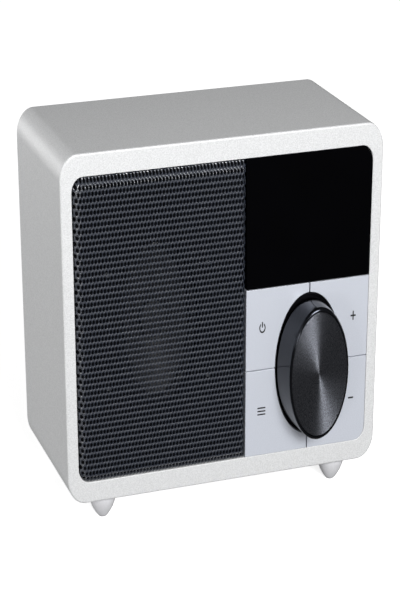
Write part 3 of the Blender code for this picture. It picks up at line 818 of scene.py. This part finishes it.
@dataclass
class Key:
    """One quadrant key round the knob, with its printed mark.

    Args:
        layout: Shared sizes.
        name: Node name of the key.
        body: Body that the key moves with.
        side: -1 for the left column, 1 for the right.
        level: -1 for the lower row, 1 for the upper.
        seam: Half the gap between two keys.
        proud: How far the face stands in front of the rim.
        well: Half width and half height of the round cut for the knob.
        marks: Printed pieces, filled by mark().
    """

    layout: Layout
    name: str
    body: str
    side: int
    level: int
    seam: float = 0.2
    proud: float = 0.6
    well: tuple[float, float] = (12.55, 27.1)
    marks: list[bpy.types.Object] = field(default_factory=list)

    def build(self) -> bpy.types.Object:
        """Shape the key.

        Returns:
            The key piece.
        """
        at = self.layout
        xe = at.divide + 0.18 if self.side < 0 else at.recess[1] - CLEAR
        ze = at.recess[2] + CLEAR if self.level < 0 else at.window - 0.2
        xs, zs = at.knob_x + self.side * self.seam, at.knob_z + self.level * self.seam
        low = (min(xe, xs), at.front - self.proud, min(ze, zs))
        high = (max(xe, xs), at.front + 2.2, max(ze, zs))
        big = self.name == "key_minus"
        radii = [(0.21, 0.3), (3.85, 5.5) if big else (0.21, 0.3), (0.21, 0.3), (0.21, 0.3)]
        key = Bench.block(self.name + "_cap", low, high, radii, 8)
        Bench.carve(key, Bench.turned("well_tool", "Y", (at.knob_x, at.front, at.knob_z),
                                      [(-4.0, self.well[1]), (6.0, self.well[1])],
                                      self.well[0] / self.well[1], 128))
        Bench.soften(key, 0.28, 3)
        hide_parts(self.name)
        return key

    def _bar(self, x: float, z: float, wide: float, high: float) -> None:
        """Print one bar of the key's mark, a hair proud of the face.

        Args:
            x: Its middle along X.
            z: Its middle along Z.
            wide: Its width.
            high: Its height.
        """
        y = self.layout.front - self.proud
        radius = min(wide, high) * 0.2
        bar = Bench.block(f"{self.name}_mark_{len(self.marks) + 1}",
                          (x - wide / 2, y - 0.03, z - high / 2),
                          (x + wide / 2, y + 0.15, z + high / 2), [(radius, radius)] * 4, 4)
        Bench.soften(bar, 0.01, 1)
        self.marks.append(bar)

    def mark(self) -> None:
        """Print the key's generic mark: power ring, menu bars, plus or minus."""
        at = self.layout
        x = at.divide + 6.2 if self.side < 0 else at.recess[1] - 5.9
        z = at.knob_z + self.level * 16.0
        if self.name in ("key_plus", "key_minus"):
            self._bar(x, z, 2.0, 0.62)
            if self.name == "key_plus":
                self._bar(x, z, 0.44, 3.5)
        elif self.name == "key_mode":
            for step in (-1, 0, 1):
                self._bar(x, z + step * 1.25, 3.0, 0.55)
        else:
            y = at.front - self.proud
            ring = Bench.turned("key_power_mark_1", "Y", (x, y, z),
                                [(-0.03, 1.9), (-0.03, 1.3), (0.15, 1.3), (0.15, 1.9)],
                                0.62, 48, True)
            Bench.carve(ring, Bench.block("gap_tool", (x - 0.55, y - 1, z + 0.6),
                                          (x + 0.55, y + 1, z + 3)))
            Bench.soften(ring, 0.0)
            self.marks.append(ring)
            self._bar(x, z + 1.2, 0.42, 2.1)

    def dress(self, key: bpy.types.Object) -> None:
        """Finish the key satin silver and its mark in black."""
        Bench.dress(key, KEY_SILVER, self.body, "key_silver")
        for mark in self.marks:
            Bench.dress(mark, PRINT, self.body, "black_plastic")


@dataclass
class Knob:
    """Tall knob with a polished skirt and a dark turned face, in its black well.

    Args:
        layout: Shared sizes.
        face: Height of the face from the axis to its edge.
        base: The same at the skirt's foot.
        squash: Width over height.
        flare: How much wider than its height asks the skirt's foot is.
        proud: How far the face stands in front of the cabinet.
        well: Half width and half height of the well's outside.
    """

    layout: Layout
    face: float = 25.2
    base: float = 25.3
    squash: float = KNOB_SQUASH
    flare: float = 1.085
    proud: float = 11.3
    well: tuple[float, float] = (12.25, 26.75)

    def build(self) -> dict[str, bpy.types.Object]:
        """Turn the well, skirt and face.

        Returns:
            The pieces by name.
        """
        at = self.layout
        axis = (at.knob_x, at.front, at.knob_z)
        out = -self.proud
        well = Bench.turned("knob_well_dish", "Y", axis, [
            (2.6, self.well[1]), (0.1, self.well[1]), (-0.15, 26.7), (-0.3, 26.5), (-0.25, 26.3),
            (0.4, 26.05), (1.4, 25.9), (1.6, 20.0), (1.8, 11.0), (2.6, 11.0)],
                            self.well[0] / self.well[1], 128, True)
        Bench.soften(well, 0.0)
        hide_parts("knob_well")
        skirt = Bench.turned("knob_skirt_ring", "Y", axis, [
            (-1.4, self.base - 0.4), (-1.6, self.base),
            (out + 1.3, self.face - 0.02), (out + 0.8, self.face), (out + 0.45, self.face - 0.25),
            (out + 0.16, self.face - 0.7), (out, self.face - 1.25), (out + 0.02, self.face - 1.4),
            (out + 0.2, self.face - 1.5), (out + 1.0, self.face - 1.55),
            (out + 3.0, self.face - 2.6), (-1.4, self.base - 1.8)], self.squash, 160, True)
        foot = (at.front - 5.5) * MM
        Bench.edit(skirt, Pick.VERTS, lambda vert: vert.co.y > foot)
        bpy.ops.transform.resize(value=(self.flare, 1.0, 1.0),
                                 center_override=(at.knob_x * MM, foot, at.knob_z * MM))
        Bench.clear()
        Bench.soften(skirt, 0.0)
        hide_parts("knob_skirt")
        disc = Bench.turned("knob_face_disc", "Y", axis, [
            (out + 1.4, 23.4), (out + 0.3, 23.55), (out + 0.12, 23.45), (out + 0.08, 23.2),
            (out + 0.2, 20.0), (out + 0.3, 15.0), (out + 0.4, 10.0), (out + 0.45, 5.0),
            (out + 0.47, 2.0), (out + 0.48, 0.5)], self.squash, 160)
        Bench.soften(disc, 0.0)
        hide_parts("knob_face")
        return {"well": well, "skirt": skirt, "disc": disc}

    def dress(self, parts: dict[str, bpy.types.Object]) -> None:
        """Finish the three pieces."""
        Bench.dress(parts["well"], WELL_BLACK, "radio", "gloss_black")
        Bench.dress(parts["skirt"], SKIRT, "knob", "chrome")
        Bench.dress(parts["disc"], FACE, "knob", "spun_metal")


@dataclass
class Feet:
    """Four tapered feet.

    Args:
        nodes: Their node names.
        radius: Radius at the cabinet.
    """

    nodes: tuple[str, ...] = ("foot_front_left", "foot_front_right", "foot_rear_left",
                              "foot_rear_right")
    radius: float = 4.7

    def build(self) -> list[bpy.types.Object]:
        """Turn each foot at its node's place.

        Returns:
            The feet.
        """
        feet = []
        for node in self.nodes:
            low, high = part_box(node)
            x, y = (low[0] + high[0]) / 2 / MM, (low[1] + high[1]) / 2 / MM
            foot = Bench.turned(node + "_cone", "Z", (x, y, 0.0), [
                (9.2, 4.3), (9.05, 4.55), (8.75, self.radius), (7.6, self.radius - 0.05),
                (6.3, 4.4), (4.3, 3.75), (2.1, 2.65), (0.9, 1.85), (0.3, 1.35), (0.08, 0.95),
                (0.0, 0.4)], 1.0, 48)
            Bench.soften(foot, 0.0)
            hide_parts(node)
            feet.append(foot)
        return feet

    def dress(self, feet: Sequence[bpy.types.Object]) -> None:
        """Finish the feet white."""
        for foot in feet:
            Bench.dress(foot, FOOT, "radio", "foot_white")


@dataclass
class Rear:
    """Rear cover with its plate, sockets, screws and folding aerial.

    Args:
        softened: Node, body, finish, record slot and edge rounding of each copied piece.
        screws: Nodes of the cover's screws.
    """

    softened: tuple[tuple[str, str, Finish, str, float], ...] = (
        ("rear_cover", "radio", BLACK, "black_plastic", 0.25),
        ("terminal_plate", "radio", WELL_BLACK, "gloss_black", 0.2),
        ("power_socket", "radio", BLACK, "black_plastic", 0.15),
        ("headphone_socket", "radio", BLACK, "black_plastic", 0.15),
        ("antenna_base", "antenna_swivel_base", BLACK, "black_plastic", 0.15),
        ("antenna_pin", "antenna_arm", STEEL, "steel", 0.0),
        ("antenna_tube_outer", "antenna_arm", CHROME, "chrome", 0.06),
        ("antenna_tube_middle", "antenna_middle", CHROME, "chrome", 0.05),
        ("antenna_rod", "antenna_end", CHROME, "chrome", 0.05),
        ("antenna_tip", "antenna_end", CHROME, "chrome", 0.2),
    )
    screws: tuple[str, ...] = ("rear_screw_1", "rear_screw_2", "rear_screw_3", "rear_screw_4")

    def build(self) -> list[tuple[bpy.types.Object, str, Finish, str]]:
        """Soften the copied pieces and model the screws.

        Returns:
            Each piece with its body, finish and record slot.
        """
        pieces = [(Bench.copy_of(node, node + "_fine", width), body, finish, slot)
                  for node, body, finish, slot, width in self.softened]
        for node in self.screws:
            pieces.append((self._screw(node), "radio", STEEL, "steel"))
        return pieces

    @staticmethod
    def _screw(node: str) -> bpy.types.Object:
        """Turn one pan-head screw and cut its cross.

        Args:
            node: CAD node that it stands for.

        Returns:
            The screw.
        """
        low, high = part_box(node)
        x, z, top = (low[0] + high[0]) / 2 / MM, (low[2] + high[2]) / 2 / MM, high[1] / MM
        screw = Bench.turned(node + "_head", "Y", (x, top, z), [
            (-7.2, 1.0), (-6.8, 1.2), (-0.9, 1.2), (-0.88, 2.4), (-0.75, 2.5), (-0.5, 2.45),
            (-0.2, 2.1), (-0.05, 1.5), (0.0, 0.8)], 1.0, 40)
        for wide, high_z in ((2.4, 0.45), (0.45, 2.4)):
            Bench.carve(screw, Bench.block("cross_tool", (x - wide / 2, top - 0.65, z - high_z / 2),
                                           (x + wide / 2, top + 1, z + high_z / 2)))
        Bench.soften(screw, 0.0)
        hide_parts(node)
        return screw

    def dress(self, pieces: Sequence[tuple[bpy.types.Object, str, Finish, str]]) -> None:
        """Finish each piece."""
        for obj, body, finish, slot in pieces:
            Bench.dress(obj, finish, body, slot)


@dataclass
class Driver:
    """Loudspeaker seen through the grille.

    Args:
        softened: Node, body, finish and record slot of each copied piece.
    """

    softened: tuple[tuple[str, str, Finish, str], ...] = (
        ("speaker_surround", "radio", RUBBER, "rubber"),
        ("speaker_cone", "cone_assembly", PAPER, "paper"),
        ("dust_cap", "cone_assembly", PAPER, "paper"),
    )

    def build(self) -> list[tuple[bpy.types.Object, str, Finish, str]]:
        """Copy the moving parts of the loudspeaker smooth.

        Returns:
            Each piece with its body, finish and record slot.
        """
        return [(Bench.copy_of(node, node + "_fine", 0.0, 50.0), body, finish, slot)
                for node, body, finish, slot in self.softened]

    def dress(self, pieces: Sequence[tuple[bpy.types.Object, str, Finish, str]]) -> None:
        """Finish each piece."""
        for obj, body, finish, slot in pieces:
            Bench.dress(obj, finish, body, slot)


class Inside:
    """Nodes that keep their CAD shape and take a better finish."""

    # Baffle and basket: real black parts, darkened further with painted shade behind the grille
    # holes.
    painted_shade_nodes = ("front_baffle", "speaker_basket")

    @staticmethod
    def dress() -> None:
        """Give every CAD node its slot's finish; the baffle and basket take a black with painted
        shade.
        """
        slots = {item["node"]: item["material_slot"] for item in frame["record"]["subparts"]}
        for name, obj in frame["nodes"].items():
            finish = BAFFLE_BLACK_WITH_PAINTED_SHADE if name in Inside.painted_shade_nodes else SLOT_FINISHES[slots[name]]
            for place in obj.material_slots:
                place.material = finish.material()
            if not obj.material_slots:
                obj.data.materials.append(finish.material())
        LOG.info("finished %d carried-over nodes", len(frame["nodes"]))


@dataclass
class Studio:
    """Pale floor, soft lights and the camera.

    Args:
        eye: Camera place in metres.
        azimuth: Camera azimuth in degrees, negative towards the left of the front.
        elevation: Camera elevation in degrees.
        roll: Camera roll in degrees.
        lens: Focal length in millimetres on a 36 mm sensor.
        world: Strength of the even light from all round.
    """

    eye: Point = (-0.216466, -0.617356, 0.340914)
    azimuth: float = -19.27273
    elevation: float = 22.52583
    roll: float = -0.03975
    lens: float = 119.485
    world: float = 0.20

    def floor(self) -> None:
        """Lay a plain pale floor that the radio's surfaces do not see and that blocks no light."""
        Bench.clear()
        bpy.ops.mesh.primitive_plane_add(size=12.0, location=(0.0, 0.0, 0.0))
        plane = bpy.context.object
        plane.name = "studio_floor"
        mat = bpy.data.materials.new("pale_floor")
        mat.use_nodes = True
        shader = mat.node_tree.nodes["Principled BSDF"]
        shader.inputs["Base Color"].default_value = (0.93, 0.93, 0.93, 1.0)
        shader.inputs["Roughness"].default_value = 0.9
        shader.inputs["Specular IOR Level"].default_value = 0.1
        shader.inputs["Emission Color"].default_value = (1.0, 1.0, 1.0, 1.0)
        shader.inputs["Emission Strength"].default_value = 0.70
        plane.data.materials.append(mat)
        plane.visible_diffuse = False
        plane.visible_glossy = False
        plane.visible_shadow = False

    def light(self, name: str, place: Point, aim: Point, size: tuple[float, float],
              power: float) -> None:
        """Hang one soft box.

        Args:
            name: Light name.
            place: Where it hangs, in metres.
            aim: What it points at.
            size: Width and height.
            power: Watts.
        """
        data = bpy.data.lights.new(name, "AREA")
        data.shape = "RECTANGLE"
        data.size, data.size_y = size
        data.energy = power
        lamp = bpy.data.objects.new(name, data)
        lamp.location = place
        lamp.rotation_euler = (Vector(aim) - Vector(place)).to_track_quat("-Z", "Y").to_euler()
        bpy.context.scene.collection.objects.link(lamp)

    def lights(self) -> None:
        """Set the world and the soft boxes."""
        world = bpy.data.worlds.new("studio_world")
        bpy.context.scene.world = world
        world.use_nodes = True
        back = world.node_tree.nodes["Background"]
        back.inputs["Color"].default_value = (1.0, 1.0, 1.0, 1.0)
        back.inputs["Strength"].default_value = self.world
        seen = world.node_tree.nodes.new("ShaderNodeBackground")
        path = world.node_tree.nodes.new("ShaderNodeLightPath")
        mix = world.node_tree.nodes.new("ShaderNodeMixShader")
        seen.inputs["Color"].default_value = (1.0, 1.0, 1.0, 1.0)
        links = world.node_tree.links
        links.new(path.outputs["Is Camera Ray"], mix.inputs["Fac"])
        links.new(back.outputs["Background"], mix.inputs[1])
        links.new(seen.outputs["Background"], mix.inputs[2])
        links.new(mix.outputs["Shader"], world.node_tree.nodes["World Output"].inputs["Surface"])
        target = (0.0, 0.0, 0.06)
        self.light("front_box", (0.03, -0.75, 0.42), target, (0.36, 0.34), 8.8)
        self.light("left_box", (-0.42, -0.52, 0.06), target, (0.13, 0.16), 0.5)
        self.light("side_box", (-1.3, 0.35, 0.32), target, (0.8, 0.8), 9.8)
        self.light("right_box", (1.2, 0.3, 0.08), target, (0.6, 0.4), 2.2)
        self.light("back_box", (-0.5, 1.2, 0.02), target, (0.5, 0.3), 1.6)
        bpy.context.scene.view_settings.view_transform = "Standard"

    def camera(self) -> None:
        """Stand the camera at the chosen view."""
        az, el, roll = (math.radians(v) for v in (self.azimuth, self.elevation, self.roll))
        back = Vector((math.sin(az) * math.cos(el), -math.cos(az) * math.cos(el), math.sin(el)))
        level = Vector((math.cos(az), math.sin(az), 0.0))
        rise = back.cross(level)
        right = math.cos(roll) * level + math.sin(roll) * rise
        up = math.cos(roll) * rise - math.sin(roll) * level
        data = bpy.data.cameras.new("studio_camera")
        data.lens = self.lens
        data.sensor_width = 36.0
        data.clip_start, data.clip_end = 0.05, 50.0
        cam = bpy.data.objects.new("studio_camera", data)
        turn = Matrix((right, up, back)).transposed().to_4x4()
        cam.matrix_world = Matrix.Translation(self.eye) @ turn
        bpy.context.scene.collection.objects.link(cam)
        bpy.context.scene.camera = cam


def main() -> None:
    """Build every sub-assembly in order, then the studio."""
    logging.basicConfig(level=logging.INFO, format="%(name)s %(message)s")
    layout = Layout.read()
    studio = Studio()
    studio.camera()
    Inside.dress()
    cabinet = Cabinet(layout)
    cabinet.dress(cabinet.build())
    grille = Grille(layout)
    grille.dress(grille.build())
    display = Display(layout)
    display.dress(display.build())
    for name, body, side, level in (("key_power", "power_key", -1, 1),
                                    ("key_mode", "mode_key", -1, -1),
                                    ("key_plus", "plus_key", 1, 1),
                                    ("key_minus", "minus_key", 1, -1)):
        key = Key(layout, name, body, side, level)
        cap = key.build()
        key.mark()
        key.dress(cap)
    knob = Knob(layout)
    knob.dress(knob.build())
    feet = Feet()
    feet.dress(feet.build())
    rear = Rear()
    rear.dress(rear.build())
    driver = Driver()
    driver.dress(driver.build())
    studio.floor()
    studio.lights()


if __name__ == "__main__":
    main()
